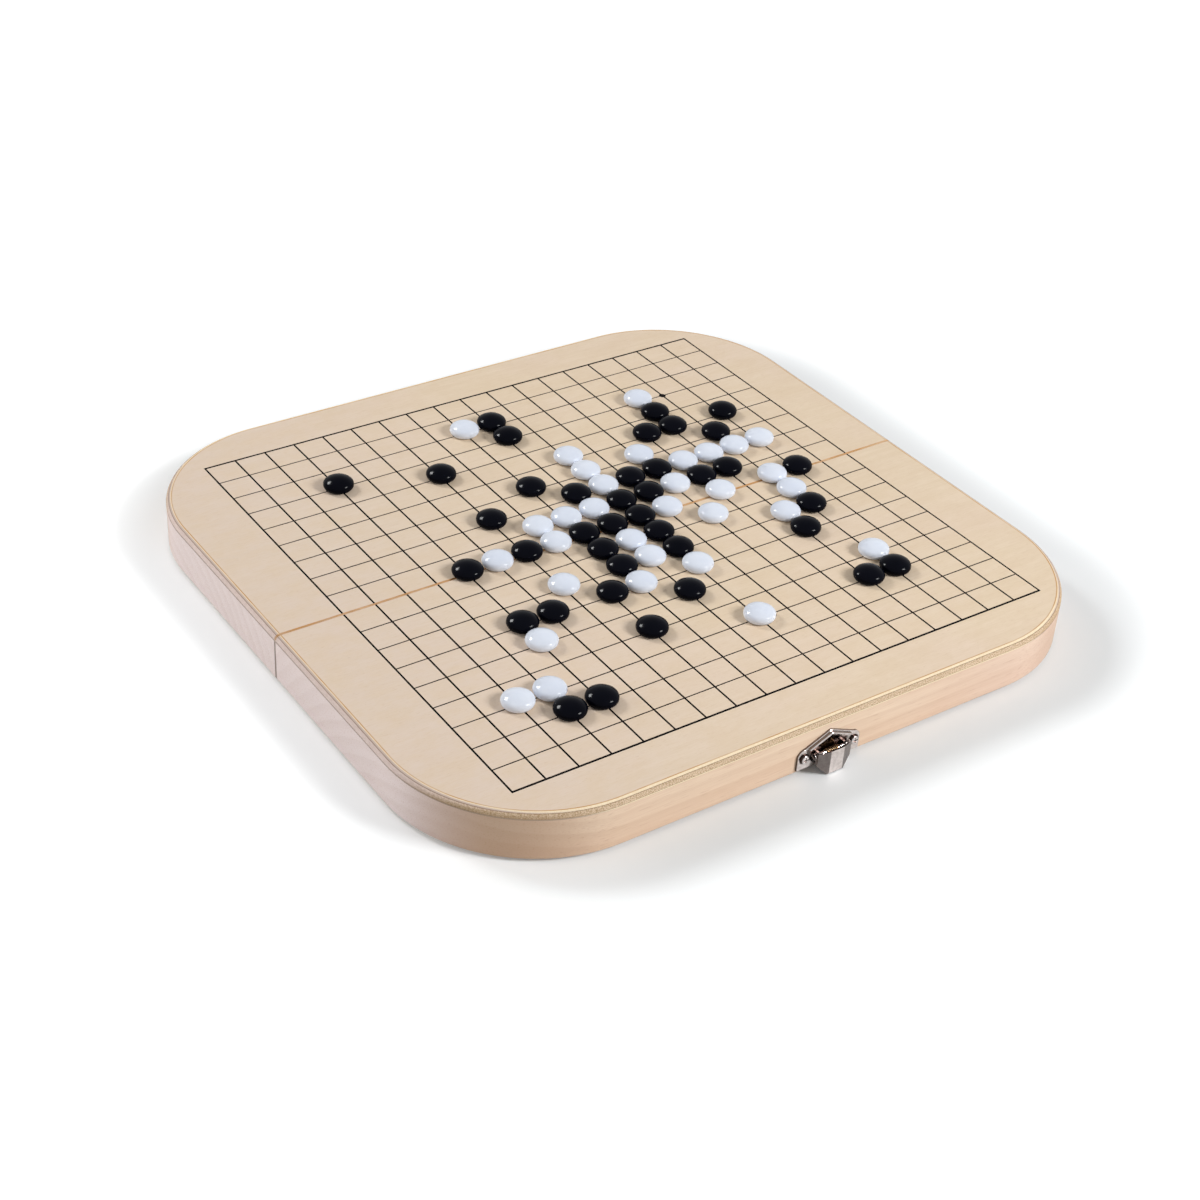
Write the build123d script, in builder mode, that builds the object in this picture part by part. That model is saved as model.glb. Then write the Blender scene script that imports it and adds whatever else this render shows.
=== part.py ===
from build123d import *
import math
import os

# Folding go set: two shallow wooden trays hinged at their rims, playing face up when open.
# Frame: +X along the fold, +Y to the rear, +Z up. The origin is on the fold, in the middle of the
# board, in the plane that the two rims stand on. Millimetres.

# Board
board_length = 320.0  # along the fold
half_depth = 152.5  # from the fold to the front or the rear edge
corner_radius = 64.0
fold_gap = 0.2  # between the halves, open or folded
fold_corner_radius = 3.0  # small upright corners beside the fold

# Frames, each milled from one board
frame_height = 18.3
wall = 12.0
tray_fold_radius = 6.0  # inner corners of the tray beside the fold
rim_ease = 0.5  # sanded round on the rim's edges, but not on the fold

# Panels, thin plywood glued on the frames
panel_thickness = 2.7
edge_round = 2.4
fold_ease = 0.4

# Printed grid
line_count = 19
pitch_x = 14.57
pitch_y = 14.26
grid_shift = 1.7  # the grid stands off the middle of the board by this much, to the right
print_depth = 0.1
line_x_width = 0.6  # lines along the fold
line_y_width = 0.85  # lines across the fold
border_width = 1.05  # the first and the last line along the fold
star_diameter = 3.3
star_index = 3  # a star point is this many lines in from each corner of the grid

# Butt hinges, let into the rims beside the fold
hinge_place = 95.0  # from the middle of the board
hinge_width = 26.0
barrel_radius = 1.3
pin_radius = 0.7
pin_play = 0.05
leaf_thickness = 0.9
leaf_reach = 9.4  # from the fold
knuckle_gap = 0.25
barrel_room = 0.3  # between the barrel and the wood beside it
seat_play = 0.05  # between a leaf or a screw and its seat
hinge_screw_spread = 16.0
hinge_screw_reach = 5.6  # from the fold
hinge_head_radius = 1.9
hinge_shank_radius = 0.9
hinge_screw_length = 9.0
hinge_slot_length = 2.2
hinge_slot_width = 0.5
screw_tip_radius = 0.2

# Catch on the front edge
plate_thickness = 1.0
plate_half_width = 15.4
plate_bottom = 1.2
plate_shoulder = 10.6
plate_shoulder_radius = 3.4
plate_peak = 15.8
plate_peak_radius = 5.5
plate_ease = 0.3
bead_inset = 0.5
bead_width = 1.1
bead_height = 1.3
bead_half_width = 10.4
catch_screw_spread = 24.6
catch_screw_height = 6.4
catch_head_radius = 2.1
catch_head_height = 1.2
catch_head_round = 0.85
catch_shank_radius = 1.0
catch_screw_length = 8.0
catch_slot_length = 2.4
catch_slot_width = 0.55
pivot_out = 2.5  # from the front edge
pivot_height = 7.0
pivot_radius = 0.8
pivot_head_radius = 1.3
pivot_head = 0.5
lug_half_width = 7.1
lug_thickness = 0.9
lug_radius = 1.4
hook_sheet = 0.8
hook_side_gap = 0.25
hook_heel_radius = 1.3
hook_web_out = 6.2
hook_web_half_width = 3.25
hook_top = 9.8
hook_bottom = -1.3
hook_lip_out = 2.2
hook_bend_out = 4.4  # where the sides turn in towards the web
hook_flange = 0.65  # what is left of the sides beside the web at its foot
hook_ear_bottom = 3.0  # the sides narrow from here to the foot
hook_bend_radius = 0.6  # outside, at the foot
spring_wire = 0.5
spring_turns = 6
spring_pitch = 0.95
spring_play = 0.15  # between the coil and the pin
spring_back_leg = 4.0
spring_web_leg = 1.9

# Strike on the rear edge
strike_bottom = 2.4
strike_top = 11.6
strike_lip_half_width = 2.9
strike_lip_out = 3.9
strike_lip_sheet = 1.0
latch_play = 0.2  # between the strike's lip and the hook's lip, folded
strike_face_gap = 0.3  # between the lip and the other half's edge

# Stones
stone_diameter = 13.6
stone_height = 6.1
stone_rim_radius = 2.3

# Places that follow from the sizes above
board_top = frame_height + panel_thickness
axis_height = -fold_gap / 2
pivot_y = -half_depth - pivot_out
grid_half_x = pitch_x * (line_count - 1) / 2
middle_line = (line_count - 1) // 2
stone_radius = stone_diameter / 2
sides = {"front": -1, "rear": 1}

os.makedirs("parts", exist_ok=True)


def save(part, name):
    part.label = name
    export_step(part, f"parts/{name}.step")


def half_outline(side, inset, outer_radius, fold_radius, fold_inset):
    """One half's outline, drawn in from the board's edge and from the fold."""
    reach = half_depth - inset - fold_inset
    with BuildSketch() as outline:
        with Locations((0, side * (fold_inset + reach / 2))):
            Rectangle(board_length - 2 * inset, reach)
        ends = outline.vertices().sort_by(Axis.Y)
        outer, inner = (ends[:2], ends[2:]) if side < 0 else (ends[2:], ends[:2])
        fillet(outer, outer_radius)
        fillet(inner, fold_radius)
    return outline.sketch


def grid_x(column):
    return grid_shift + (column - middle_line) * pitch_x


def grid_y(row):
    return (row - middle_line) * pitch_y


def grid_lines(side):
    """The printed lines and star points of one half, up to the eased edge of the fold."""
    start = fold_gap / 2 + fold_ease
    end = middle_line * pitch_y + border_width / 2
    with BuildSketch() as lines:
        for column in range(line_count):
            with Locations((grid_x(column), side * (start + end) / 2)):
                Rectangle(line_y_width, end - start)
        for step in range(1, middle_line + 1):
            with Locations((grid_shift, side * step * pitch_y)):
                Rectangle(
                    2 * grid_half_x + line_y_width, border_width if step == middle_line else line_x_width
                )
        star_y = side * (middle_line - star_index) * pitch_y
        with Locations((grid_x(star_index), star_y), (grid_x(line_count - 1 - star_index), star_y)):
            Circle(star_diameter / 2)
    return lines.sketch


def flat_screw(plane, grow=0.0):
    """A countersunk wood screw, its head flush with the plane; grow makes the seat for it."""
    head = hinge_head_radius - hinge_shank_radius
    with BuildPart(plane) as screw:
        with Locations((0, 0, -head / 2)):
            Cone(hinge_shank_radius + grow, hinge_head_radius + grow, head)
        with Locations((0, 0, -(head + hinge_screw_length) / 2)):
            Cylinder(hinge_shank_radius + grow, hinge_screw_length - head)
        with Locations((0, 0, -hinge_screw_length - hinge_shank_radius / 2)):
            Cone(screw_tip_radius + grow, hinge_shank_radius + grow, hinge_shank_radius)
        if grow == 0:
            with Locations((0, 0, -head / 4)):
                Box(hinge_slot_length, hinge_slot_width, head / 2, mode=Mode.SUBTRACT)
                Box(hinge_slot_width, hinge_slot_length, head / 2, mode=Mode.SUBTRACT)
    return screw.part


def round_screw(plane, grow=0.0):
    """A wood screw with a domed head that stands on the plane; grow makes the hole for its shank."""
    with BuildPart(plane) as screw:
        with Locations((0, 0, -catch_screw_length / 2)):
            Cylinder(catch_shank_radius + grow, catch_screw_length)
        with Locations((0, 0, -catch_screw_length - catch_shank_radius / 2)):
            Cone(screw_tip_radius + grow, catch_shank_radius + grow, catch_shank_radius)
        if grow == 0:
            with Locations((0, 0, catch_head_height / 2)):
                Cylinder(catch_head_radius, catch_head_height)
            head_top = screw.faces().sort_by(Axis(plane.origin, plane.z_dir))[-1]
            fillet(head_top.edges(), catch_head_round)
            with Locations((0, 0, catch_head_height)):
                Box(catch_slot_length, catch_slot_width, catch_head_height, mode=Mode.SUBTRACT)
                Box(catch_slot_width, catch_slot_length, catch_head_height, mode=Mode.SUBTRACT)
    return screw.part


def edge_plane(side, out=0.0):
    """The plane of the front or rear edge: local X runs along the edge, local Y is up."""
    return Plane(origin=(0, side * (half_depth + out), 0), x_dir=(-side, 0, 0), z_dir=(0, side, 0))


def moved(plane, x, y):
    """The same plane with its origin moved to a local point."""
    return Plane(origin=plane.from_local_coords((x, y, 0)), x_dir=plane.x_dir, z_dir=plane.z_dir)


# Screw places
rim = Plane(origin=(0, 0, 0), x_dir=(1, 0, 0), z_dir=(0, 0, -1))
hinge_screw_planes = {}
catch_screw_planes = {}
for half, side in sides.items():
    hinge_screw_planes[half] = [
        Plane(origin=(x + dx, side * hinge_screw_reach, 0), x_dir=rim.x_dir, z_dir=rim.z_dir)
        for x in (-hinge_place, hinge_place)
        for dx in (-hinge_screw_spread / 2, hinge_screw_spread / 2)
    ]
    plate_face = edge_plane(side, plate_thickness)
    catch_screw_planes[half] = [
        moved(plate_face, x, catch_screw_height)
        for x in (-catch_screw_spread / 2, catch_screw_spread / 2)
    ]

# Frames: a ring of solid wood, open below, with seats for the hinges and holes for the screws.
for half, side in sides.items():
    outer = half_outline(side, 0, corner_radius, fold_corner_radius, fold_gap / 2)
    tray = half_outline(side, wall, corner_radius - wall, tray_fold_radius, fold_gap / 2 + wall)
    wood_cuts = [flat_screw(plane, seat_play) for plane in hinge_screw_planes[half]]
    wood_cuts += [round_screw(plane, seat_play) for plane in catch_screw_planes[half]]
    with BuildPart() as frame:
        with BuildSketch():
            add(outer)
            add(tray, mode=Mode.SUBTRACT)
        extrude(amount=frame_height)
        rim_edges = frame.faces().sort_by(Axis.Z)[0].edges()
        fold_edge = rim_edges.sort_by(Axis.Y)[-1 if side < 0 else 0]
        fillet([edge for edge in rim_edges if edge != fold_edge], rim_ease)
        for x in (-hinge_place, hinge_place):
            with BuildSketch(Plane.XY):
                with Locations((x, side * leaf_reach / 2)):
                    Rectangle(hinge_width + 2 * seat_play, leaf_reach + 2 * seat_play)
            extrude(amount=leaf_thickness + seat_play, mode=Mode.SUBTRACT)
            with BuildSketch(Plane.YZ.offset(x - hinge_width / 2 - barrel_room)):
                with Locations((0, axis_height)):
                    Circle(barrel_radius + barrel_room)
            extrude(amount=hinge_width + 2 * barrel_room, mode=Mode.SUBTRACT)
        add(wood_cuts, mode=Mode.SUBTRACT)
    save(frame.part, f"{half}_frame")

# Panels: cut from one rounded blank, so only the outer edge is round and the fold's edge is eased.
# The grid's lines are sunk into the face by the depth of the print.
for half, side in sides.items():
    outline = half_outline(side, 0, corner_radius, fold_corner_radius, fold_gap / 2)
    lines = grid_lines(side)
    with BuildPart() as panel:
        with BuildSketch(Plane.XY.offset(frame_height)):
            RectangleRounded(board_length, 2 * half_depth, corner_radius)
        extrude(amount=panel_thickness)
        fillet(panel.faces().sort_by(Axis.Z)[-1].edges(), edge_round)
        with BuildSketch(Plane.XY.offset(frame_height)):
            add(outline)
        extrude(amount=panel_thickness, mode=Mode.INTERSECT)
        with BuildSketch(Plane.YZ.offset(-board_length / 2)):
            with BuildLine():
                Polyline(
                    (side * fold_gap / 2, board_top),
                    (side * (fold_gap / 2 + fold_ease), board_top),
                    (side * fold_gap / 2, board_top - fold_ease),
                    close=True,
                )
            make_face()
        extrude(amount=board_length, mode=Mode.SUBTRACT)
        with BuildSketch(Plane.XY.offset(board_top - print_depth)):
            add(lines)
        extrude(amount=print_depth, mode=Mode.SUBTRACT)
    save(panel.part, f"{half}_panel")

    with BuildPart() as grid:
        with BuildSketch(Plane.XY.offset(board_top - print_depth)):
            add(lines)
        extrude(amount=print_depth)
    save(grid.part, f"{half}_grid_print")

# Hinges: the front leaf has the outer knuckles, the rear leaf the middle one.
knuckle = (hinge_width - 2 * knuckle_gap) / 3
knuckle_places = {
    "front": (-(knuckle + knuckle_gap), knuckle + knuckle_gap),
    "rear": (0,),
}
for name, hinge_x in (("left", -hinge_place), ("right", hinge_place)):
    for half, side in sides.items():
        seats = [flat_screw(plane, seat_play) for plane in hinge_screw_planes[half]]
        barrel_edge = barrel_radius + barrel_room
        with BuildPart() as leaf:
            with BuildSketch(Plane.XY):
                with Locations((hinge_x, side * (barrel_edge + leaf_reach) / 2)):
                    Rectangle(hinge_width, leaf_reach - barrel_edge)
                for x in knuckle_places[half]:
                    with Locations((hinge_x + x, side * barrel_edge / 2)):
                        Rectangle(knuckle, barrel_edge)
            extrude(amount=leaf_thickness)
            for x in knuckle_places[half]:
                with BuildSketch(Plane.YZ.offset(hinge_x + x - knuckle / 2)):
                    with Locations((0, axis_height)):
                        Circle(barrel_radius)
                extrude(amount=knuckle)
            with BuildSketch(Plane.YZ.offset(hinge_x - hinge_width / 2)):
                with Locations((0, axis_height)):
                    Circle(pin_radius + pin_play)
            extrude(amount=hinge_width, mode=Mode.SUBTRACT)
            add(seats, mode=Mode.SUBTRACT)
        save(leaf.part, f"{name}_hinge_{half}_leaf")

    with BuildPart() as pin:
        with BuildSketch(Plane.YZ.offset(hinge_x - hinge_width / 2)):
            with Locations((0, axis_height)):
                Circle(pin_radius)
        extrude(amount=hinge_width)
    save(pin.part, f"{name}_hinge_pin")

for half in sides:
    screws = [flat_screw(plane) for plane in hinge_screw_planes[half]]
    with BuildPart() as screw_set:
        add(screws)
    save(screw_set.part, f"{half}_hinge_screws")

# Catch plate: a pressed bell shape with a raised bead and two upright lugs for the pivot.
front_edge = edge_plane(-1)
front_plate_face = edge_plane(-1, plate_thickness)


def bell_points(inset):
    """Right half of the catch plate's outline, drawn in by an inset, from the foot to the peak."""
    half_width = plate_half_width - inset
    shoulder_radius = plate_shoulder_radius - inset
    peak_radius = plate_peak_radius - inset
    peak_centre = plate_peak - plate_peak_radius
    shoulder_x = half_width - shoulder_radius
    shoulder_z = plate_shoulder - plate_shoulder_radius
    # The flank is tangent to the shoulder's and the peak's circles.
    run = shoulder_x
    rise = peak_centre - shoulder_z
    reach = math.hypot(run, rise)
    lean = math.atan2(rise, run)
    turn = lean + math.acos((peak_radius - shoulder_radius) / reach)
    out_x, out_z = math.cos(math.pi - turn), math.sin(math.pi - turn)
    half_turn = math.atan2(out_z, out_x) / 2
    mid_x, mid_z = math.cos(half_turn), math.sin(half_turn)
    return (
        (half_width, plate_bottom + inset),
        (half_width, shoulder_z),
        (shoulder_x + shoulder_radius * mid_x, shoulder_z + shoulder_radius * mid_z),
        (shoulder_x + shoulder_radius * out_x, shoulder_z + shoulder_radius * out_z),
        (peak_radius * out_x, peak_centre + peak_radius * out_z),
        (0, peak_centre + peak_radius),
    )


def mirrored(point):
    return (-point[0], point[1])


foot, side_top, shoulder, flank_low, flank_high, peak = bell_points(0)
with BuildSketch() as outer_bell:
    with BuildLine():
        Line(mirrored(foot), foot)
        Line(foot, side_top)
        ThreePointArc(side_top, shoulder, flank_low)
        Line(flank_low, flank_high)
        ThreePointArc(flank_high, peak, mirrored(flank_high))
        Line(mirrored(flank_high), mirrored(flank_low))
        ThreePointArc(mirrored(flank_low), mirrored(shoulder), mirrored(side_top))
        Line(mirrored(side_top), mirrored(foot))
    make_face()
bead_low, bead_high, bead_peak = bell_points(bead_inset + bead_width / 2)[3:]
along_flank = (bead_low[0] - bead_half_width) / (bead_low[0] - bead_high[0])
bead_straight = bead_height - bead_width / 2
bead_end = (bead_half_width, bead_low[1] + along_flank * (bead_high[1] - bead_low[1]))
catch_holes = [round_screw(plane, seat_play) for plane in catch_screw_planes["front"]]
with BuildPart() as catch_plate:
    with BuildSketch(front_edge):
        add(outer_bell.sketch)
    extrude(amount=plate_thickness)
    fillet(catch_plate.faces().sort_by(Axis.Y)[0].edges(), plate_ease)
    with BuildLine(front_plate_face) as bead:
        Line(mirrored(bead_end), mirrored(bead_high))
        ThreePointArc(mirrored(bead_high), bead_peak, bead_high)
        Line(bead_high, bead_end)
    bead_corners = (
        (-plate_thickness / 2, -bead_width / 2),
        (bead_straight, -bead_width / 2),
        (bead_straight, bead_width / 2),
        (-plate_thickness / 2, bead_width / 2),
    )
    with BuildSketch(Plane(origin=bead.line @ 0, x_dir=(0, -1, 0), z_dir=bead.line % 0)):
        with BuildLine():
            Line(bead_corners[0], bead_corners[1])
            ThreePointArc(bead_corners[1], (bead_height, 0), bead_corners[2])
            Line(bead_corners[2], bead_corners[3])
            Line(bead_corners[3], bead_corners[0])
        make_face()
    sweep(path=bead.line)
    for lug_x in (-lug_half_width, lug_half_width - lug_thickness):
        with BuildSketch(Plane.YZ.offset(lug_x)):
            with Locations((pivot_y, pivot_height)):
                Circle(lug_radius)
            with Locations((-half_depth - pivot_out / 2, pivot_height)):
                Rectangle(pivot_out, 2 * lug_radius)
        extrude(amount=lug_thickness)
    with BuildSketch(Plane.YZ.offset(-lug_half_width)):
        with Locations((pivot_y, pivot_height)):
            Circle(pivot_radius + pin_play)
    extrude(amount=2 * lug_half_width, mode=Mode.SUBTRACT)
    add(catch_holes, mode=Mode.SUBTRACT)
save(catch_plate.part, "catch_plate")

# Catch hook: one bent sheet. Its sides ride outside the lugs and close in on a narrow web, and are
# cut away below. The web's foot turns inwards as a lip that reaches under the strike.
side_outer = lug_half_width + hook_side_gap + hook_sheet
hook_y = -half_depth - hook_web_out
bend_y = -half_depth - hook_bend_out
heel_y = pivot_y + hook_heel_radius
hook_back_y = heel_y + hook_sheet
lip_top = hook_bottom + hook_sheet
foot_half_width = hook_web_half_width + hook_flange
with BuildPart() as catch_hook:
    with BuildSketch(Plane.XY.offset(hook_bottom)):
        with BuildLine():
            Polyline(
                (-side_outer, hook_back_y),
                (-side_outer, bend_y),
                (-hook_web_half_width, hook_y),
                (hook_web_half_width, hook_y),
                (side_outer, bend_y),
                (side_outer, hook_back_y),
                close=True,
            )
        hook_plan = make_face()
        offset(hook_plan, amount=-hook_sheet, kind=Kind.INTERSECTION, mode=Mode.SUBTRACT)
    extrude(amount=hook_top - hook_bottom)
    with BuildSketch(Plane.YZ.offset(-side_outer)):
        with Locations((pivot_y, pivot_height)):
            Circle(hook_heel_radius)
        with BuildLine():
            Polyline(
                (pivot_y, pivot_height + hook_heel_radius),
                (hook_y, hook_top),
                (hook_y, hook_bottom),
                (hook_y + hook_sheet + hook_bend_radius, hook_bottom),
                (pivot_y, pivot_height - hook_heel_radius),
                close=True,
            )
        make_face()
    extrude(amount=2 * side_outer, mode=Mode.INTERSECT)
    with BuildSketch(Plane.XZ.offset(-hook_back_y)):
        with BuildLine():
            Polyline(
                (-foot_half_width, hook_bottom),
                (foot_half_width, hook_bottom),
                (side_outer, hook_ear_bottom),
                (side_outer, hook_top),
                (-side_outer, hook_top),
                (-side_outer, hook_ear_bottom),
                close=True,
            )
        make_face()
    extrude(amount=hook_back_y - hook_y, mode=Mode.INTERSECT)
    with BuildSketch(Plane.XY.offset(hook_bottom)):
        with Locations((0, -half_depth - (hook_lip_out + hook_web_out) / 2)):
            Rectangle(2 * hook_web_half_width, hook_web_out - hook_lip_out)
    extrude(amount=hook_sheet)
    foot = catch_hook.edges().filter_by(Axis.X).group_by(Axis.Z)[0].sort_by(Axis.Y)[0]
    fillet(foot, hook_bend_radius)
    with BuildSketch(Plane.YZ.offset(-side_outer)):
        with Locations((pivot_y, pivot_height)):
            Circle(pivot_radius + pin_play)
    extrude(amount=2 * side_outer, mode=Mode.SUBTRACT)
save(catch_hook.part, "catch_hook")

# Catch pivot: a pin with a head at each end, through the hook's sides and the plate's lugs.
pin_half = side_outer + hook_side_gap
with BuildPart() as catch_pivot:
    with BuildSketch(Plane.YZ.offset(-pin_half)):
        with Locations((pivot_y, pivot_height)):
            Circle(pivot_radius)
    extrude(amount=2 * pin_half)
    for head_x in (-pin_half - pivot_head, pin_half):
        with BuildSketch(Plane.YZ.offset(head_x)):
            with Locations((pivot_y, pivot_height)):
                Circle(pivot_head_radius)
        extrude(amount=pivot_head)
save(catch_pivot.part, "catch_pivot_pin")

# Catch spring: a coil round the pivot. Its back leg lies along the plate, and its other leg points
# at the hook's web. The web stays further from the pivot than this leg reaches, at any angle.
coil_radius = pivot_radius + spring_play + spring_wire / 2
coil_start = -spring_pitch * (spring_turns + 0.25) / 2


def coil_point(quarter):
    """Where the wire's middle is after so many quarter turns, from the back and upwards."""
    angle = quarter * math.pi / 2
    return Vector(
        coil_start + spring_pitch * quarter / 4,
        pivot_y + coil_radius * math.cos(angle),
        pivot_height + coil_radius * math.sin(angle),
    )


def coil_tangent(quarter):
    """The wire's direction there."""
    angle = quarter * math.pi / 2
    climb = spring_pitch / (2 * math.pi)
    return Vector(climb, -coil_radius * math.sin(angle), coil_radius * math.cos(angle)).normalized()


def biarc_middle(start, start_way, end, end_way):
    """The point where two arcs meet that join two points with given directions."""
    chord = end - start
    ways = start_way + end_way
    a = 4 - ways.dot(ways)
    b = chord.dot(ways)
    arm = (-b + math.sqrt(b * b + a * chord.dot(chord))) / a
    return (start + start_way * arm + end - end_way * arm) * 0.5


quarters = 4 * spring_turns + 1
with BuildPart() as catch_spring:
    with BuildLine() as coil:
        Line(coil_point(0) - coil_tangent(0) * spring_back_leg, coil_point(0))
        for quarter in range(quarters):
            start, end = coil_point(quarter), coil_point(quarter + 1)
            start_way, end_way = coil_tangent(quarter), coil_tangent(quarter + 1)
            middle = biarc_middle(start, start_way, end, end_way)
            first = TangentArc(start, middle, tangent=start_way)
            TangentArc(middle, end, tangent=first % 1)
        Line(coil_point(quarters), coil_point(quarters) + coil_tangent(quarters) * spring_web_leg)
    with BuildSketch(Plane(origin=coil.line @ 0, z_dir=coil.line % 0)):
        Circle(spring_wire / 2)
    sweep(path=coil.line)
save(catch_spring.part, "catch_spring")
# The least gap from one turn to the next, from points along the middle of the wire.
wire_path = coil.wire()
samples = 1200
wire_points = [wire_path @ (i / samples) for i in range(samples + 1)]
half_turn_points = int(math.pi * coil_radius / wire_path.length * samples)
least = min(
    (wire_points[i] - wire_points[k]).length
    for i in range(0, samples, 4)
    for k in range(i + half_turn_points, samples + 1)
)
print(f"catch spring: least gap to itself {least - spring_wire:.3f} mm")

for half in sides:
    screws = [round_screw(plane) for plane in catch_screw_planes[half]]
    with BuildPart() as screw_set:
        add(screws)
    save(screw_set.part, {"front": "catch_plate_screws", "rear": "strike_screws"}[half])

# Strike: a small plate on the rear edge. Folded, its lip lies just above the hook's lip.
rear_edge = edge_plane(1)
strike_holes = [round_screw(plane, seat_play) for plane in catch_screw_planes["rear"]]
lip_upper = -fold_gap - (lip_top + latch_play)
lip_lower = lip_upper - strike_lip_sheet
lip_end_y = half_depth + strike_lip_out
with BuildPart() as strike:
    with BuildSketch(rear_edge):
        with Locations((0, (strike_bottom + strike_top) / 2)):
            RectangleRounded(2 * plate_half_width, strike_top - strike_bottom, plate_shoulder_radius)
    extrude(amount=plate_thickness)
    with BuildSketch(Plane.YZ.offset(-strike_lip_half_width)):
        with BuildLine():
            Polyline(
                (half_depth, strike_bottom + plate_thickness),
                (half_depth, strike_bottom / 2),
                (half_depth + strike_face_gap, strike_bottom / 2 - strike_face_gap),
                (half_depth + strike_face_gap, lip_lower),
                (lip_end_y, lip_lower),
                (lip_end_y, lip_upper),
                (half_depth + plate_thickness + strike_face_gap, lip_upper),
                (half_depth + plate_thickness, lip_upper + strike_face_gap),
                (half_depth + plate_thickness, strike_bottom + plate_thickness),
                close=True,
            )
        make_face()
    extrude(amount=2 * strike_lip_half_width)
    add(strike_holes, mode=Mode.SUBTRACT)
save(strike.part, "strike_plate")

# Stones: domed above, nearly flat below, with a round rim. The game is written from the rear edge
# to the front, b for a black stone and w for a white one. The row on the fold lies on the front half.
game = (
    "...................",
    "...................",
    "........wb.........",
    "...b.....b....w....",
    "......b.......b....",
    "..........w..bb.b..",
    "........b.w.w..b...",
    "......b..bwbbwwww..",
    ".......wwwbbwbb....",
    "....bwbwbbbw.w.wb..",
    "........bwb.w..w...",
    "......w.bwb...wb...",
    "....bb.bw.w...b....",
    "....w....b.........",
    ".......b.......w...",
    "..ww......w...bb...",
    "...bb..............",
    "...................",
    "...................",
)
# The dome's circle is centred on the axis and is tangent to the rim's circle.
rim_x = stone_radius - stone_rim_radius
cap = stone_height - 2 * stone_rim_radius
dome_drop = (rim_x**2 - cap**2) / (2 * cap)
dome_radius = dome_drop + cap + stone_rim_radius
tangent = math.hypot(rim_x, dome_drop)
dome_centre = stone_rim_radius - dome_drop
seam_point = (dome_radius * rim_x / tangent, dome_centre + dome_radius * dome_drop / tangent)
with BuildPart() as stone:
    with BuildSketch(Plane.XZ):
        with BuildLine():
            Line((0, 0), (rim_x, 0))
            ThreePointArc((rim_x, 0), (stone_radius, stone_rim_radius), seam_point)
            middle_angle = math.atan2(rim_x, dome_drop) / 2
            ThreePointArc(
                seam_point,
                (
                    dome_radius * math.sin(middle_angle),
                    dome_centre + dome_radius * math.cos(middle_angle),
                ),
                (0, stone_height),
            )
            Line((0, stone_height), (0, 0))
        make_face()
    revolve(axis=Axis.Z)

for colour, letter in (("black", "b"), ("white", "w")):
    for half in sides:
        places = []
        for back, line in enumerate(game):
            row = line_count - 1 - back
            if (row > middle_line) != (half == "rear"):
                continue
            columns = [column for column, mark in enumerate(line) if mark == letter]
            places += [(grid_x(column), grid_y(row), board_top) for column in columns]
        with BuildPart() as stones:
            with Locations(*places):
                add(stone.part)
        print(colour, half, len(places))
        save(stones.part, f"{colour}_stones_{half}")
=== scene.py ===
import math
import bmesh
import bpy
from mathutils import Euler, Matrix, Vector


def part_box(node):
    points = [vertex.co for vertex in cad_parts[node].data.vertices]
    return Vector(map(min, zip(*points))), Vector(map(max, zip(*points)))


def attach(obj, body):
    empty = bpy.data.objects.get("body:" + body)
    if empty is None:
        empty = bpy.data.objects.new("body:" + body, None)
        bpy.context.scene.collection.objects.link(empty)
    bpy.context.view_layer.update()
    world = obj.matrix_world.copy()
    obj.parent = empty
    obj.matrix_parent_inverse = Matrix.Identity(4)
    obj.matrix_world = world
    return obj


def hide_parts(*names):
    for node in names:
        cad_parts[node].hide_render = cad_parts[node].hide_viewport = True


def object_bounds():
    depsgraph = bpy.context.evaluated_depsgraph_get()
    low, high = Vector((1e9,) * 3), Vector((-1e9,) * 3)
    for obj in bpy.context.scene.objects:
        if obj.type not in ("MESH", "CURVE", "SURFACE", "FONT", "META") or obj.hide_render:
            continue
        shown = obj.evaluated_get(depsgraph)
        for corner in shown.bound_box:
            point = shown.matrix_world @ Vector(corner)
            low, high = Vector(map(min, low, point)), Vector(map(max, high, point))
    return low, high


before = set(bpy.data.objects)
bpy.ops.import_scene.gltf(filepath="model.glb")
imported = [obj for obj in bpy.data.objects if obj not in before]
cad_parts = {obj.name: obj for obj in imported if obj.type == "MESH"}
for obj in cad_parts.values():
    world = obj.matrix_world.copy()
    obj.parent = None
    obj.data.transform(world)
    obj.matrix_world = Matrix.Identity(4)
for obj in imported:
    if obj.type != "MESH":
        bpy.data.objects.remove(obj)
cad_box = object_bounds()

# Camera: it stands at the catch's edge, left of the middle, and looks down across the board to the
# rear right corner, as in the photograph. The picture is square.
camera_place = (-0.4514, -0.6149, 0.5100)
camera_turn = (55.33, -3.15, -33.97)  # degrees about X, Y and Z
film_width = 36  # millimetres, as the lens is
lens = 62.86

camera_data = bpy.data.cameras.new("camera")
camera_data.sensor_width = film_width
camera_data.lens = lens
camera = bpy.data.objects.new("camera", camera_data)
camera.location = camera_place
camera.rotation_euler = Euler([math.radians(angle) for angle in camera_turn])
bpy.context.collection.objects.link(camera)
bpy.context.scene.camera = camera
bpy.context.scene.view_settings.view_transform = "Standard"

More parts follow.
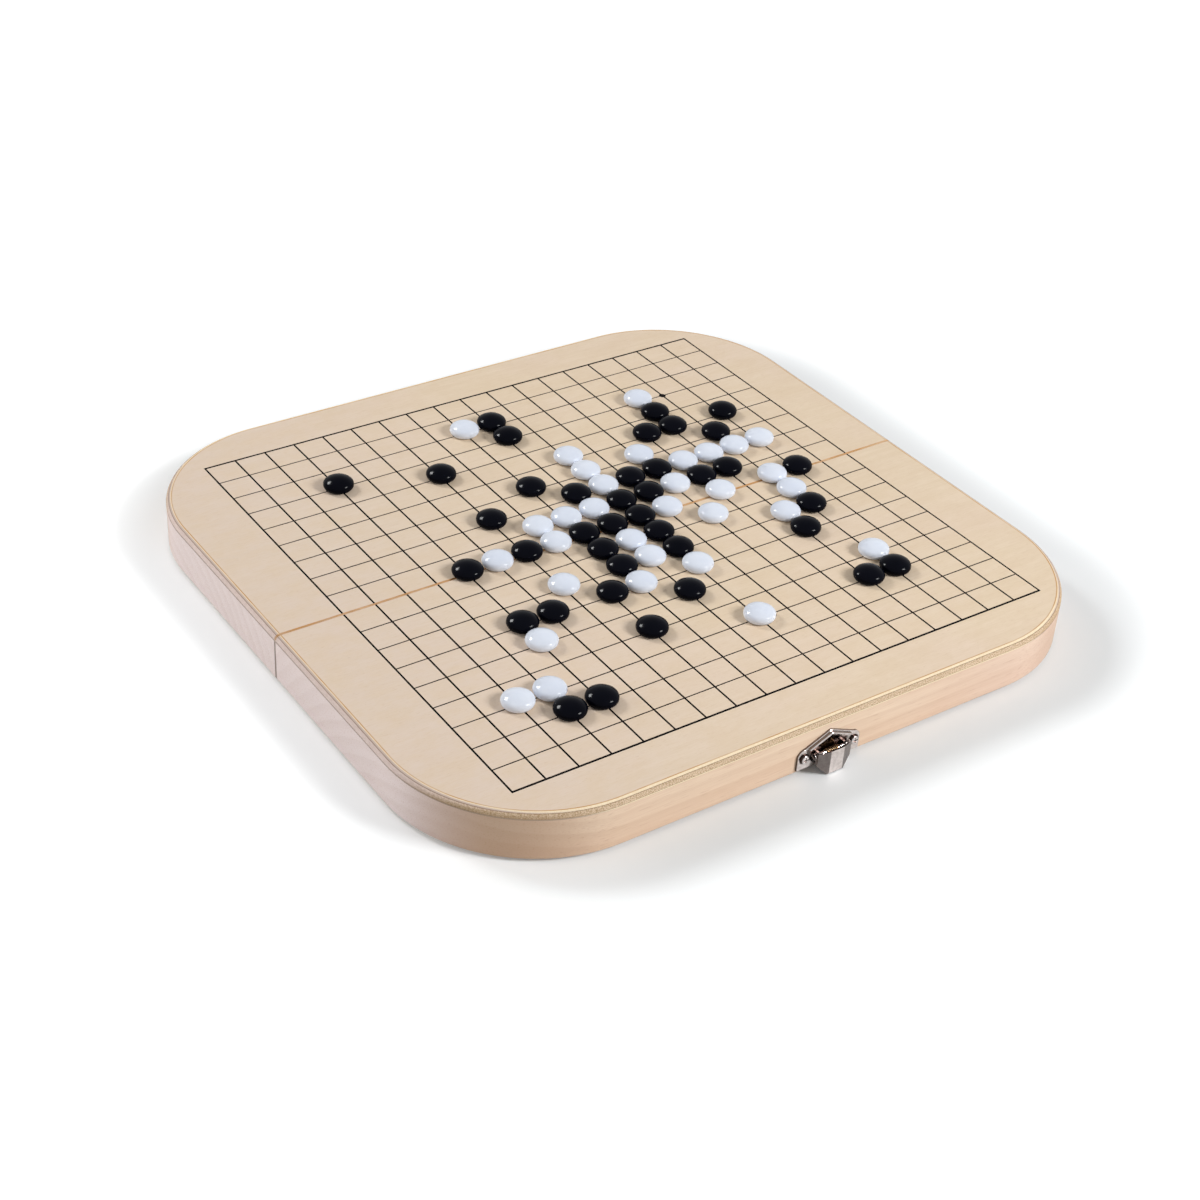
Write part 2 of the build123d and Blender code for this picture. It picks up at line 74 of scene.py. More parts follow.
# Studio: two soft boxes face each other across the board, one behind it to the left and one in front
# to the right. A lamp close to each shows in gloss alone, as the two small lights on every stone, and
# a wide weak one fills the left side. The room's walls are white and far off.
room_share = 0.27
lamps = {
    # name: place, size in metres, share of a plain level of light, whether matt and glossy things show it
    "left box": ((-0.60, 1.05, 1.03), 0.36, 0.35, True, True),
    "right box": ((0.72, -1.09, 0.93), 0.46, 0.74, True, True),
    "left fill": ((-1.45, 0.77, 0.46), 0.90, 0.26, True, False),
    "left glint": ((-0.58, 1.02, 1.00), 0.36, 1.0, False, True),
    "right glint": ((0.70, -1.06, 0.90), 0.36, 0.94, False, True),
}
for name, (place, size, share, on_matt, on_gloss) in lamps.items():
    light = bpy.data.lights.new(name, "AREA")
    light.shape = "SQUARE"
    light.size = size
    reach = Vector(place).length
    light.energy = share * math.pi**2 * reach**2
    lamp = bpy.data.objects.new(name, light)
    lamp.location = place
    lamp.rotation_euler = Vector(place).to_track_quat("Z", "Y").to_euler()
    lamp.visible_diffuse = on_matt
    lamp.visible_glossy = on_gloss
    bpy.context.collection.objects.link(lamp)


def place_node(tree, kind, sockets=None, **settings):
    """One node in a tree, with its settings made and its sockets set or joined."""
    made = tree.nodes.new(kind)
    for key, value in settings.items():
        setattr(made, key, value)
    for key, value in (sockets or {}).items():
        if isinstance(value, bpy.types.NodeSocket):
            tree.links.new(value, made.inputs[key])
        else:
            made.inputs[key].default_value = value
    return made


def maths(tree, operation, first, second=0.5, third=None, clamp=False):
    """A sum on values, as the output that carries it."""
    sockets = {0: first, 1: second}
    if third is not None:
        sockets[2] = third
    return place_node(tree, "ShaderNodeMath", sockets, operation=operation, use_clamp=clamp).outputs[0]


def between(tree, value, low, high, to_low=0.0, to_high=1.0, smooth=True):
    """A value taken from one range to another, and kept in it."""
    kind = "SMOOTHSTEP" if smooth else "LINEAR"
    sockets = {"Value": value, "From Min": low, "From Max": high, "To Min": to_low, "To Max": to_high}
    return place_node(tree, "ShaderNodeMapRange", sockets, interpolation_type=kind, clamp=True).outputs[0]


room = bpy.data.worlds.new("room")
room.use_nodes = True
bpy.context.scene.world = room
walls = room.node_tree
walls.nodes.clear()
ray = place_node(walls, "ShaderNodeLightPath").outputs
seen = maths(walls, "MAXIMUM", ray["Is Camera Ray"], ray["Is Glossy Ray"])
seen = maths(walls, "MAXIMUM", seen, ray["Is Transmission Ray"])
level = between(walls, seen, 0.0, 1.0, room_share, 1.0, smooth=False)
white = place_node(walls, "ShaderNodeBackground", {"Color": (1, 1, 1, 1), "Strength": level})
place_node(walls, "ShaderNodeOutputWorld", {"Surface": white.outputs[0]})

# Table: a wide sheet, painted pale with a faint gloss, and the set lies on it. A glow that only the
# camera sees paints it white a hand's breadth from the board, and sooner on the left, over the real
# shadow, and keeps the board's shadow up to there.
table_half = 4.0  # metres, as all sizes of meshes are
table_gap = 0.0001  # under the lowest point of the set
board_half_length = 160.0  # millimetres, as all sizes in materials are
board_half_depth = 152.5
corner_radius = 64.0
white_centre = (0.010, -0.002, 0)
white_starts, white_ends = 0.014, 0.086  # metres from the board's outline, moved to that centre
white_near_board = 0.035
left_starts, left_ends = -0.05, -0.2
white_on_left = 0.25

table_mesh = bmesh.new()
bmesh.ops.create_grid(table_mesh, x_segments=1, y_segments=1, size=table_half)
bmesh.ops.translate(table_mesh, verts=table_mesh.verts, vec=(0, 0, cad_box[0][2] - table_gap))
table_data = bpy.data.meshes.new("table")
table_mesh.to_mesh(table_data)
table_mesh.free()
table = bpy.data.objects.new("table", table_data)
bpy.context.collection.objects.link(table)


def new_finish(name, shine):
    """A material, the tree of its nodes and its shader's sockets."""
    finish = bpy.data.materials.new(name)
    finish.use_nodes = True
    tree = finish.node_tree
    tree.nodes.clear()
    shader = tree.nodes.new("ShaderNodeBsdfPrincipled")
    shader.inputs["Specular IOR Level"].default_value = shine
    place_node(tree, "ShaderNodeOutputMaterial", {"Surface": shader.outputs[0]})
    return finish, tree, shader.inputs


def vectors(tree, operation, first, second=(0, 0, 0)):
    """A sum on vectors, as the output that carries it."""
    return place_node(tree, "ShaderNodeVectorMath", {0: first, 1: second}, operation=operation).outputs[0]


def parts_of(tree, vector):
    """The three parts of a vector."""
    return place_node(tree, "ShaderNodeSeparateXYZ", {0: vector}).outputs


table_paint, tree, shader = new_finish("table paint", shine=0.05)
shader["Base Color"].default_value = (0.78, 0.8, 0.808, 1)
shader["Roughness"].default_value = 0.3
shader["Emission Color"].default_value = (1, 1, 1, 1)
where = place_node(tree, "ShaderNodeTexCoord").outputs["Object"]
inner_half = ((board_half_length - corner_radius) / 1000, (board_half_depth - corner_radius) / 1000, 1)
from_centre = vectors(tree, "ABSOLUTE", vectors(tree, "SUBTRACT", where, white_centre))
outside = vectors(tree, "MAXIMUM", vectors(tree, "SUBTRACT", from_centre, inner_half))
away = place_node(tree, "ShaderNodeVectorMath", {0: outside}, operation="LENGTH").outputs["Value"]
outline = corner_radius / 1000
lift = between(tree, away, outline + white_starts, outline + white_ends, white_near_board, 1.0)
left_lift = between(tree, parts_of(tree, where)[0], left_starts, left_ends, 0.0, white_on_left)
camera_ray = place_node(tree, "ShaderNodeLightPath").outputs["Is Camera Ray"]
# painted light: only the camera sees this glow, which whitens the floor and washes out its shadow away from
# the board
glow = maths(tree, "MULTIPLY", camera_ray, maths(tree, "ADD", lift, left_lift))
tree.links.new(glow, shader["Emission Strength"])
table.data.materials.append(table_paint)

# Frames: two rings of pine, each milled from one board with its grain along the fold, sanded and
# lacquered. The board's growth rings run along the front and rear edges, and the sides are end grain.
ring_width = 6.5
heart_depth = 130.0  # the rings' centre lies under a line this far from the fold
heart_heights = {"front": -90.0, "rear": -70.0}
# painted shade: the frames' end walls darken in the crease at the fold, within these millimetres of it
fold_shade_ends, fold_shade_full = 0.9, 0.25


def tint(red, green, blue):
    """A colour as a screen shows it, 0 to 255, as the shaders want it."""
    parts = [part / 255 for part in (red, green, blue)]
    return [p / 12.92 if p <= 0.04045 else ((p + 0.055) / 1.055) ** 2.4 for p in parts] + [1.0]


def new_group(name, inputs, outputs):
    """A node group with named value sockets, what is given to it and what it puts out."""
    group = bpy.data.node_groups.new(name, "ShaderNodeTree")
    for title, value in inputs.items():
        socket = group.interface.new_socket(title, in_out="INPUT", socket_type="NodeSocketFloat")
        socket.default_value = value
    for title in outputs:
        group.interface.new_socket(title, in_out="OUTPUT", socket_type="NodeSocketFloat")
    return group, group.nodes.new("NodeGroupInput").outputs, group.nodes.new("NodeGroupOutput").inputs


def product(tree, first, *others):
    """Values multiplied together: masks then hold only where all of them do."""
    for other in others:
        first = maths(tree, "MULTIPLY", first, other)
    return first


def slant(tree, across, up):
    """The length of a line that goes so far across and so far up."""
    return maths(tree, "SQRT", maths(tree, "MULTIPLY_ADD", across, across, product(tree, up, up)))


def blend_colour(tree, factor, first, second):
    """Two colours mixed by a factor."""
    return place_node(tree, "ShaderNodeMix", {0: factor, 6: first, 7: second}, data_type="RGBA").outputs[2]


def lay_over(tree, colour, layers):
    """A colour with others laid over it in turn, each where its own mask lets it."""
    for mask, layer in layers:
        colour = blend_colour(tree, mask, colour, layer)
    return colour


def stretched(tree, scale=(1, 1, 1), shift=(0, 0, 0)):
    """Object coordinates in millimetres, stretched by a scale for each way."""
    where = place_node(tree, "ShaderNodeTexCoord").outputs["Object"]
    return vectors(tree, "ADD", vectors(tree, "MULTIPLY", where, [part * 1000 for part in scale]), shift)


def facing(tree):
    """Which way the surface looks, in three parts from -1 to 1."""
    return parts_of(tree, place_node(tree, "ShaderNodeTexCoord").outputs["Normal"])


def noise(tree, where, scale=1.0, detail=3.0, roughness=0.5, distortion=0.0):
    """Smooth noise, as a value from about 0 to 1."""
    sockets = {"Vector": where, "Scale": scale, "Detail": detail}
    sockets.update({"Roughness": roughness, "Distortion": distortion})
    return place_node(tree, "ShaderNodeTexNoise", sockets).outputs[0]


def emboss(tree, shader, height, strength, depth):
    """Lets a pattern stand up from the surface by a depth in metres."""
    bump = place_node(tree, "ShaderNodeBump", {"Strength": strength, "Distance": depth, "Height": height})
    tree.links.new(bump.outputs[0], shader["Normal"])


grain_titles = ("Ring", "Fibre", "Dash", "End", "Cloud", "Height", "Fold Shade")
grain_inputs = {"Board": 0.0, "Pith Height": heart_heights["front"], "Ring Width": ring_width}
pine_grain, given, out = new_group("pine grain", grain_inputs, grain_titles)
board_shift = place_node(pine_grain, "ShaderNodeCombineXYZ", {axis: given["Board"] for axis in range(3)})


def own_place(scale, shift=(0, 0, 0)):
    """Stretched coordinates, shifted from board to board."""
    return vectors(pine_grain, "ADD", stretched(pine_grain, scale, shift), board_shift.outputs[0])


place = parts_of(pine_grain, stretched(pine_grain))
from_fold = maths(pine_grain, "ABSOLUTE", place[1])
wander = noise(pine_grain, own_place((0.0045, 0.02, 0.02)), detail=2.0)
across = maths(pine_grain, "MULTIPLY_ADD", wander, 20.0, from_fold)
across = maths(pine_grain, "SUBTRACT", across, heart_depth)
height = maths(pine_grain, "SUBTRACT", place[2], given["Pith Height"])
height = maths(pine_grain, "MULTIPLY_ADD", wander, 12.0, height)
years = maths(pine_grain, "DIVIDE", slant(pine_grain, across, height), given["Ring Width"])
year = maths(pine_grain, "FRACT", years)
late_wood = product(pine_grain, between(pine_grain, year, 0.1, 0.8), between(pine_grain, year, 1.0, 0.84))
whole_years = place_node(pine_grain, "ShaderNodeCombineXYZ", {0: maths(pine_grain, "FLOOR", years)})
strength = noise(pine_grain, whole_years.outputs[0], scale=0.73, detail=0.0)
short_marks = noise(pine_grain, own_place((0.11, 2.0, 2.0), (4, 9, 1)), detail=2.0)
grain_values = (
    product(pine_grain, late_wood, between(pine_grain, strength, 0.3, 0.75, 0.35, 1.0)),
    noise(pine_grain, own_place((0.05, 2.6, 2.6)), detail=4.0, roughness=0.65),
    between(pine_grain, short_marks, 0.6, 0.7),
    between(pine_grain, maths(pine_grain, "ABSOLUTE", facing(pine_grain)[0]), 0.7, 0.98),
    noise(pine_grain, stretched(pine_grain, (0.012, 0.03, 0.03), (5, 2, 9)), detail=2.0),
    place[2],
    between(pine_grain, from_fold, fold_shade_ends, fold_shade_full),
)
for title, value in zip(grain_titles, grain_values):
    pine_grain.links.new(value, out[title])


def pine(name, board, pith_height):
    """Lacquered pine: pale early wood, pinkish late wood, and a paler, greyer end grain."""
    finish, tree, shader = new_finish(name, shine=0.14)
    group = place_node(tree, "ShaderNodeGroup", node_tree=pine_grain)
    group.inputs["Board"].default_value = board
    group.inputs["Pith Height"].default_value = pith_height
    ring, fibre, dash, end_grain, cloud, height, joint = (group.outputs[title] for title in grain_titles)
    cloudy = between(tree, cloud, 0.35, 0.7, 0.0, 0.5)
    # random pink clouds, and painted shade: the walls grow darker and pinker toward their bottom
    pink_tone_and_low_shade = maths(tree, "MULTIPLY_ADD", between(tree, height, 16.0, 3.0), 0.45, cloudy)
    long_wood = blend_colour(tree, pink_tone_and_low_shade, tint(235, 211, 186), tint(224, 190, 163))
    long_wood = blend_colour(tree, product(tree, ring, 0.26), long_wood, tint(196, 152, 118))
    end_wood = blend_colour(tree, product(tree, ring, 0.2), tint(244, 229, 226), tint(206, 180, 170))
    to_right = parts_of(tree, stretched(tree))[0]
    looks = facing(tree)
    corner = maths(tree, "ABSOLUTE", product(tree, looks[0], looks[1]))
    sideways = between(tree, maths(tree, "ABSOLUTE", looks[0]), 0.5, 0.9, 0.0, 0.85)
    colour = lay_over(tree, blend_colour(tree, end_grain, long_wood, end_wood), (
        # painted light: the walls are lighter and pinker toward the right
        (between(tree, to_right, 10.0, 130.0, 0.0, 0.4), tint(236, 216, 206)),
        # painted shade: the walls are darker where they turn round the rounded corners, which neither soft box
        # lights well
        (between(tree, corner, 0.1, 0.5, 0.0, 0.5), tint(186, 150, 122)),
        (between(tree, fibre, 0.35, 0.75, 0.0, 0.28), tint(204, 164, 134)),
        (product(tree, dash, 0.26), tint(178, 128, 98)),
        # painted shade in the crease where the two halves meet at the fold, on the end walls
        (product(tree, joint, sideways), tint(96, 74, 62)),
    ))
    tree.links.new(colour, shader["Base Color"])
    tree.links.new(between(tree, fibre, 0.2, 0.8, 0.38, 0.52), shader["Roughness"])
    emboss(tree, shader, maths(tree, "MULTIPLY_ADD", ring, -0.4, fibre), strength=0.25, depth=0.00008)
    return finish


def dress(node, finish):
    """Gives a carried-over piece its finish."""
    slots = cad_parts[node].material_slots
    if not slots:
        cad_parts[node].data.materials.append(finish)
    for material_slot in slots:
        material_slot.material = finish


dress("front_frame", pine("front pine", 0.0, heart_heights["front"]))
dress("rear_frame", pine("rear pine", 7.3, heart_heights["rear"]))

# Panels: two thin sheets of birch plywood, glued on the frames and rounded over along their upper
# edge. Their upper ply is tan and quiet, and the cutter left an amber line where the rounding starts
# and at the fold.
round_over = 2.4
rim_height = 18.3
glue_heights, glue_half = (0.55, 2.3), 0.16  # above the rim, as the core and the dark joint are
core_from, core_to = (0.5, 0.6), (2.4, 2.3)  # each from nothing to full, as all that follow
joint_line = (0.13, 0.03)
# how far in from the board's edge, and from the fold
ply_from = (round_over - 0.02, round_over - 0.2)
amber_from, amber_to = (round_over - 0.3, round_over - 0.05), (round_over + 0.45, round_over + 0.1)
fold_amber = (0.9, 0.5)

edge_inset, _, out = new_group("distance from the board's edge", {}, ("Inset", "Fold", "Height"))
x, y, z = parts_of(edge_inset, stretched(edge_inset))
from_fold = maths(edge_inset, "ABSOLUTE", y)
past_x = maths(edge_inset, "SUBTRACT", maths(edge_inset, "ABSOLUTE", x), board_half_length - corner_radius)
past_y = maths(edge_inset, "SUBTRACT", from_fold, board_half_depth - corner_radius)
out_x = maths(edge_inset, "MAXIMUM", past_x, 0.0)
out_y = maths(edge_inset, "MAXIMUM", past_y, 0.0)
straight_part = maths(edge_inset, "MINIMUM", maths(edge_inset, "MAXIMUM", past_x, past_y), 0.0)
past_centre = maths(edge_inset, "ADD", slant(edge_inset, out_x, out_y), straight_part)
edge_inset.links.new(maths(edge_inset, "SUBTRACT", corner_radius, past_centre), out["Inset"])
edge_inset.links.new(from_fold, out["Fold"])
edge_inset.links.new(z, out["Height"])


def bell_line(tree, value, middle, half_width):
    """1 where a value is near the middle, and 0 a half width away from it."""
    apart = maths(tree, "ABSOLUTE", maths(tree, "SUBTRACT", value, middle))
    return between(tree, apart, half_width, 0.0)


def birch(name, shift):
    """Birch plywood: a quiet tan face, three plies at the edge, amber where the cutter rubbed."""
    finish, tree, shader = new_finish(name, shine=0.06)
    edge = place_node(tree, "ShaderNodeGroup", node_tree=edge_inset).outputs
    fibre = noise(tree, stretched(tree, (0.16, 2.4, 2.4), (shift, shift, 0)), detail=4.0, roughness=0.6)
    streak = noise(tree, stretched(tree, (0.022, 0.32, 0.32), (shift, 3, 0)), detail=3.0, distortion=0.4)
    patch = noise(tree, stretched(tree, (0.011, 0.017, 0.017), (shift, 8, 0)), detail=3.0, roughness=0.6)
    pores = noise(tree, stretched(tree, (0.35, 3.2, 3.2), (shift, 1, 4)), detail=2.0)
    mottle = noise(tree, stretched(tree, (0.07, 0.11, 0.11), (shift, 6, 2)), detail=4.0, roughness=0.7)
    to_right = parts_of(tree, stretched(tree))[0]
    face = lay_over(tree, tint(231, 212, 188), (
        (between(tree, streak, 0.25, 0.75), tint(226, 206, 179)),
        (between(tree, patch, 0.38, 0.68, 0.0, 0.5), tint(229, 208, 190)),
        (between(tree, to_right, 30.0, -150.0, 0.0, 0.6), tint(220, 203, 191)),
        (between(tree, mottle, 0.35, 0.7, 0.0, 0.45), tint(222, 200, 172)),
        (between(tree, fibre, 0.42, 0.72, 0.0, 0.26), tint(213, 188, 157)),
        (between(tree, pores, 0.62, 0.72, 0.0, 0.26), tint(195, 164, 130)),
    ))
    # the plies: end grain of the core at the front and the rear, long grain at the sides
    height = maths(tree, "SUBTRACT", edge["Height"], rim_height)
    speckle = noise(tree, stretched(tree, (2.4, 0.5, 2.6), (shift, 5, 2)), detail=3.0, roughness=0.75)
    looks = facing(tree)
    side = maths(tree, "ABSOLUTE", looks[0])
    veneer = blend_colour(tree, between(tree, speckle, 0.3, 0.7), tint(250, 234, 204), tint(240, 218, 182))
    # painted shade: the veneer is darker and greyer where its rounding turns to the sides
    veneer = blend_colour(tree, between(tree, side, 0.05, 0.35), veneer, tint(200, 180, 168))
    end_core = blend_colour(tree, between(tree, speckle, 0.38, 0.62), tint(229, 207, 180), tint(178, 148, 114))
    long_core = blend_colour(tree, between(tree, speckle, 0.3, 0.7), tint(232, 214, 206), tint(214, 192, 182))
    core_end = between(tree, maths(tree, "ABSOLUTE", looks[1]), 0.1, 0.6)
    core = product(tree, between(tree, height, *core_from), between(tree, height, *core_to))
    glue = maths(tree, "MAXIMUM", *(bell_line(tree, height, middle, glue_half) for middle in glue_heights))
    corner = maths(tree, "ABSOLUTE", product(tree, looks[0], looks[1]))
    # the dark line where the panel meets the frame: partly glue, and partly painted shade in the seam, darker
    # on the sides
    joint = product(tree, between(tree, height, *joint_line), maths(tree, "MULTIPLY_ADD", side, 0.45, 0.45))
    plies = lay_over(tree, veneer, (
        (core, blend_colour(tree, core_end, long_core, end_core)),
        (product(tree, glue, maths(tree, "MULTIPLY_ADD", side, 0.25, 0.6)), tint(120, 88, 64)),
        # painted shade: the plies darken where the edge turns round the rounded corners
        (between(tree, corner, 0.05, 0.45, 0.0, 0.45), tint(170, 138, 100)),
        (joint, tint(112, 86, 68)),
    ))
    on_edge = between(tree, edge["Inset"], *ply_from)
    # the amber lines
    heat = noise(tree, stretched(tree, (0.05, 0.05, 0.05), (shift, 0, 0)), detail=3.0)
    inset = edge["Inset"]
    edge_line = product(tree, between(tree, inset, *amber_from), between(tree, inset, *amber_to))
    fold_line = product(tree, between(tree, edge["Fold"], *fold_amber), between(tree, looks[2], 0.1, 0.4))
    amber = maths(tree, "MAXIMUM", edge_line, fold_line)
    amber = product(tree, amber, between(tree, heat, 0.3, 0.65, 0.5, 0.95))
    colour = lay_over(tree, face, ((on_edge, plies), (amber, tint(190, 138, 78))))
    tree.links.new(colour, shader["Base Color"])
    sheen = between(tree, fibre, 0.25, 0.75, 0.34, 0.46)
    tree.links.new(maths(tree, "MULTIPLY_ADD", on_edge, 0.4, sheen), shader["Roughness"])
    emboss(tree, shader, maths(tree, "MULTIPLY_ADD", pores, -0.6, fibre), strength=0.2, depth=0.00006)
    return finish


dress("front_panel", birch("front birch", 0.0))
dress("rear_panel", birch("rear birch", 4.7))

# Printed grid: the lines and star points of each half, in black ink. They are pressed flush into the
# plywood, and a little worn and thin in places.
ink, tree, shader = new_finish("grid ink", shine=0.04)
thin = noise(tree, stretched(tree, (0.9, 2.4, 2.4)), detail=3.0, roughness=0.7)
spots = noise(tree, stretched(tree, (0.03, 0.03, 0.03), (2, 2, 2)), detail=2.0)
worn = product(tree, between(tree, thin, 0.58, 0.8), between(tree, spots, 0.35, 0.7, 0.05, 0.35))
tree.links.new(blend_colour(tree, worn, tint(8, 5, 5), tint(64, 48, 38)), shader["Base Color"])
tree.links.new(between(tree, thin, 0.3, 0.7, 0.5, 0.7), shader["Roughness"])
dress("front_grid_print", ink)
dress("rear_grid_print", ink)

# Hinges: two small butt hinges of plated steel, let into the rims and screwed. The leaves and pins
# are brushed along the fold, and the screws are a little brighter.
scratch_ways = ((0.12, 3.0, 3.12), (3.0, 0.12, 3.12))

wear, given, out = new_group("handling marks", {"Scale": 1.0}, ("Scratch", "Smudge"))
scaled = place_node(wear, "ShaderNodeVectorMath", {0: stretched(wear), 3: given["Scale"]}, operation="SCALE")
squeezed = [vectors(wear, "MULTIPLY", scaled.outputs[0], way) for way in scratch_ways]
scratches = [between(wear, noise(wear, lines, detail=2.0), 0.66, 0.72) for lines in squeezed]
smudge = noise(wear, scaled.outputs[0], scale=0.35, detail=4.0, roughness=0.6)
wear.links.new(maths(wear, "MAXIMUM", *scratches), out["Scratch"])
wear.links.new(between(wear, smudge, 0.35, 0.7), out["Smudge"])


def handled(tree, scale, smudged):
    """How much handling has dulled a place, from 0 to 1."""
    marks = place_node(tree, "ShaderNodeGroup", node_tree=wear)
    marks.inputs["Scale"].default_value = scale
    smudges = product(tree, marks.outputs["Smudge"], smudged)
    return maths(tree, "MULTIPLY_ADD", marks.outputs["Scratch"], 0.3, smudges, clamp=True)


def metal(name, bright, dull, smooth, rough, brushed=(1, 1, 1), relief=0.0, painted_shade=None):
    """A plated metal with smudges, scratches, brushed lines one way, and painted shade where a mask puts it.
    """
    finish, tree, shader = new_finish(name, shine=0.5)
    grain = noise(tree, stretched(tree, brushed, (3, 1, 2)), detail=3.0)
    dullness = handled(tree, scale=1.6, smudged=0.6)
    colour = blend_colour(tree, dullness, bright, dull)
    if painted_shade:
        # the dark colour laid by the mask is painted shade and dark reflection
        colour = blend_colour(tree, painted_shade(tree), colour, tint(66, 54, 50))
    tree.links.new(colour, shader["Base Color"])
    roughness = maths(tree, "MULTIPLY_ADD", grain, 0.5, product(tree, dullness, 0.5), clamp=True)
    tree.links.new(between(tree, roughness, 0.1, 0.9, smooth, rough, smooth=False), shader["Roughness"])
    shader["Metallic"].default_value = 1.0
    emboss(tree, shader, grain, strength=0.15, depth=relief)
    return finish


along_fold = (0.25, 6, 6)
hinge_steel = metal("hinge steel", tint(205, 202, 196), tint(168, 162, 152), 0.24, 0.46, along_fold, 0.00003)
for side in ("left", "right"):
    for piece in ("front_leaf", "rear_leaf", "pin"):
        dress(f"{side}_hinge_{piece}", hinge_steel)
screw_steel = metal("screw steel", tint(214, 211, 206), tint(160, 154, 146), 0.18, 0.38, relief=0.000008)
dress("front_hinge_screws", screw_steel)
dress("rear_hinge_screws", screw_steel)

# Catch and strike: pressed steel sheet with a nickel finish, held by round-headed screws, and a spring
# of yellower wire. The sheet is bright where hands rub it, and painted nearly black, as shade and dark
# reflection, in the pocket below the bead, in the slots, round the screw heads and along bent edges.
catch_screw_spread = 24.6
catch_screw_height = 6.4
catch_head_radius = 2.1
catch_slot_reach = 1.25
slot_floor = 154.25  # how far in front of the fold the slots end
plate_face = 153.5
bead_peak, bead_fall = 13.6, -0.37  # its underside's height in the middle, and its fall to each side
pocket_from, pocket_floor, pocket_side = (0.0, 1.2), (3.2, 5.2), (10.2, 8.2)
bright_nickel, dull_nickel, rubbed_nickel = tint(212, 203, 199), tint(176, 166, 161), tint(226, 220, 218)
nickel_relief = 0.000004


def from_middle(tree):
    """A place in millimetres: from the middle to either side, from the fold either way, and up."""
    x, y, z = parts_of(tree, stretched(tree))
    return maths(tree, "ABSOLUTE", x), maths(tree, "ABSOLUTE", y), z


def looks_along(tree, axis):
    """1 where the surface looks along an axis either way, and 0 where it looks across it."""
    return maths(tree, "ABSOLUTE", facing(tree)[axis])


def from_screw(tree):
    """How far a place is from the axis of the nearest of the two screws."""
    place = from_middle(tree)
    beside = maths(tree, "SUBTRACT", place[0], catch_screw_spread / 2)
    return slant(tree, beside, maths(tree, "SUBTRACT", place[2], catch_screw_height))


def strike_painted_shade(tree):
    """Painted shade in a ring round each screw, and painted dark reflection on every face that does not look
    straight out from the board.
    """
    ring = bell_line(tree, from_screw(tree), catch_head_radius + 0.1, 0.45)
    return maths(tree, "MAXIMUM", ring, between(tree, looks_along(tree, 1), 0.75, 0.3, 0.0, 0.72))


def plate_painted_shade(tree):
    """The same painted shade, and painted shade in the pocket below the bead."""
    beside, out, up = from_middle(tree)
    below_bead = maths(tree, "SUBTRACT", maths(tree, "MULTIPLY_ADD", beside, bead_fall, bead_peak), up)
    pocket = product(
        tree, between(tree, below_bead, *pocket_from), between(tree, up, *pocket_floor),
        between(tree, out, plate_face + 0.9, plate_face + 0.2), between(tree, beside, *pocket_side),
    )
    return maths(tree, "MAXIMUM", pocket, strike_painted_shade(tree))


def screw_painted_shade(tree):
    """Painted shade in the cross slots, and on the wall of each head where it meets the plate."""
    distance = from_screw(tree)
    in_slot = between(tree, distance, catch_slot_reach + 0.1, catch_slot_reach)
    slot = product(tree, in_slot, between(tree, from_middle(tree)[1], slot_floor + 0.1, slot_floor))
    wall = between(tree, distance, catch_head_radius - 0.5, catch_head_radius - 0.15)
    return maths(tree, "MAXIMUM", slot, wall)


def hook_painted_shade(tree):
    """Painted shade and dark reflection on the sides, and less so on the faces that look up or down."""
    sides = between(tree, looks_along(tree, 0), 0.15, 0.32, 0.0, 0.7)
    return maths(tree, "MAXIMUM", sides, between(tree, looks_along(tree, 2), 0.4, 0.8, 0.0, 0.4))


def nickel(name, bright, smooth, rough, painted_shade):
    """Nickel plate, nearly smooth, with its own painted shade."""
    return metal(name, bright, dull_nickel, smooth, rough, (0.3, 0.3, 0.3), nickel_relief, painted_shade)


dress("catch_plate", nickel("nickel plate", bright_nickel, 0.12, 0.26, plate_painted_shade))
strike_nickel = nickel("strike nickel", bright_nickel, 0.14, 0.28, strike_painted_shade)
dress("strike_plate", strike_nickel)
dress("catch_pivot_pin", strike_nickel)
screw_nickel = nickel("nickel screws", rubbed_nickel, 0.1, 0.22, screw_painted_shade)
dress("catch_plate_screws", screw_nickel)
dress("strike_screws", screw_nickel)
dress("catch_hook", nickel("nickel hook", bright_nickel, 0.16, 0.3, hook_painted_shade))
spring_wire = metal("spring wire", tint(186, 156, 118), tint(104, 84, 62), 0.16, 0.32, relief=nickel_relief)
dress("catch_spring", spring_wire)

# Stones: moulded in hard black and white plastic and polished, with a flat foot, a thick round rim and
# a low dome. They lie loose on the crossings, each turned its own way.
stone_radius = 0.0068
stone_height = 0.00609  # and 0.01 mm of air under it
stone_rim_radius = 0.0023
stone_sides = 56
rim_steps = 14
dome_steps = 12
merge_gap = 0.00002
top_gap = 0.000001  # how near to the top a stone's highest points are
stone_turn = 2.4  # radians from one stone to the next
shade_step = 0.618

rim_x = stone_radius - stone_rim_radius
cap = stone_height - 2 * stone_rim_radius
dome_drop = (rim_x**2 - cap**2) / (2 * cap)
dome_centre = stone_rim_radius - dome_drop
dome_half_angle = math.atan2(rim_x, dome_drop)
one_stone = bmesh.new()
axis_point = one_stone.verts.new((0, 0, 0))
rim_foot = one_stone.verts.new((rim_x, 0, 0))
one_stone.edges.new((axis_point, rim_foot))
rim_spin = bmesh.ops.spin(
    one_stone, geom=[rim_foot], cent=(rim_x, 0, stone_rim_radius), axis=(0, -1, 0),
    angle=math.pi - dome_half_angle, steps=rim_steps,
)
seam = [part for part in rim_spin["geom_last"] if isinstance(part, bmesh.types.BMVert)]
bmesh.ops.spin(
    one_stone, geom=seam, cent=(0, 0, dome_centre), axis=(0, -1, 0), angle=dome_half_angle, steps=dome_steps,
)
